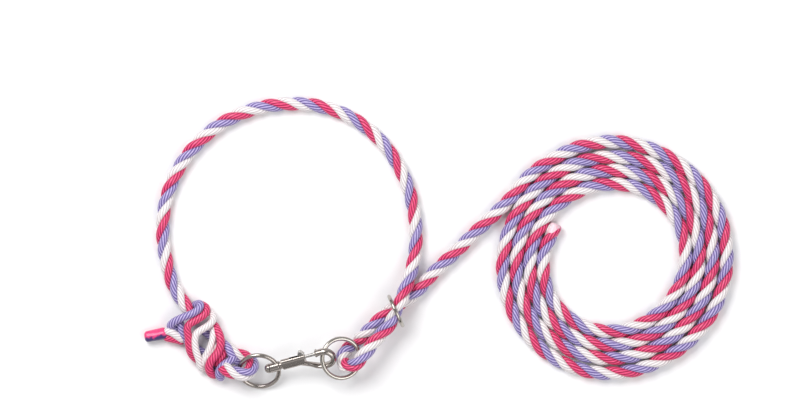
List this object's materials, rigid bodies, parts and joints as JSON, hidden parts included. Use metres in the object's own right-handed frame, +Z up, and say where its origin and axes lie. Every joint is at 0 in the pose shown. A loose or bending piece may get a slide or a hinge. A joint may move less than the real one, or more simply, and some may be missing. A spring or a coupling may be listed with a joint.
{
  "type": "head halter",
  "caption": "Rope neck halter with a spliced loop, a swivel snap clipped to a round ring, a sliding keeper ring and a coiled lead.",
  "frame": {"origin": "centre of the neck loop, on the flat surface that the halter lies on", "axes": "+Z up out of the surface; +X from the neck loop towards the coiled lead; +Y away from the snap"},
  "size_m": [0.5345, 0.2652, 0.0327],
  "materials": {
    "rope": "three-strand laid rope, one strand each hot pink, lavender and off-white",
    "rope_seal": "melted rope fibre, pinkish white",
    "cast_nickel": "die casting, bright nickel plate",
    "bolt_steel": "turned steel, bright plate",
    "spring_wire": "drawn spring wire",
    "ring_nickel": "welded wire, bright nickel plate"
  },
  "bodies": {
    "rope": {"neck_loop": "rope", "right_eye": "rope", "left_eye": "rope", "lead_run": "rope", "lead_coil": "rope", "lead_seal": "rope_seal", "rope_tail": "rope", "tail_tip": "rope_seal", "splice_knot": "rope"},
    "swivel_eye": {"swivel_eye": "cast_nickel"},
    "snap_body": {"snap_body": "cast_nickel", "swivel_rivet": "cast_nickel", "bolt_spring": "spring_wire"},
    "snap_bolt": {"snap_bolt": "bolt_steel", "thumb_knob": "cast_nickel"},
    "right_ring": {"right_ring": "ring_nickel"},
    "keeper_ring": {"keeper_ring": "ring_nickel"}
  },
  "joints": [
    {"name": "snap_lift", "type": "hinge", "parent": "rope", "child": "swivel_eye", "pos_m": [-0.0436, -0.11827, 0.01211], "axis": [0.2622, -0.965, 0], "range_deg": [-1, 2.5]},
    {"name": "ring_tilt", "type": "hinge", "parent": "rope", "child": "right_ring", "pos_m": [0.06549, -0.1039, 0.01451], "axis": [0, 1, 0], "range_deg": [-2.8, 6.8]},
    {"name": "snap_swivel", "type": "hinge", "parent": "swivel_eye", "child": "snap_body", "pos_m": [-0.02575, -0.1187, 0.0129], "axis": [0.9364, 0.2544, 0.2419], "range_deg": [0, 70]},
    {"name": "bolt_slide", "type": "slide", "parent": "snap_body", "child": "snap_bolt", "axis": [-0.9364, -0.2544, -0.2419], "range_m": [0, 0.0105], "stiffness_N_per_m": 500, "springref_m": -0.006, "deforming": ["bolt_spring"]},
    {"name": "keeper_slide", "type": "slide", "parent": "rope", "child": "keeper_ring", "axis": [-0.7071, -0.7071, 0], "range_m": [0, 0.006]}
  ],
  "couplings": [
    {"joint": "ring_tilt", "follows": "snap_lift", "ratio": 2.7}
  ]
}
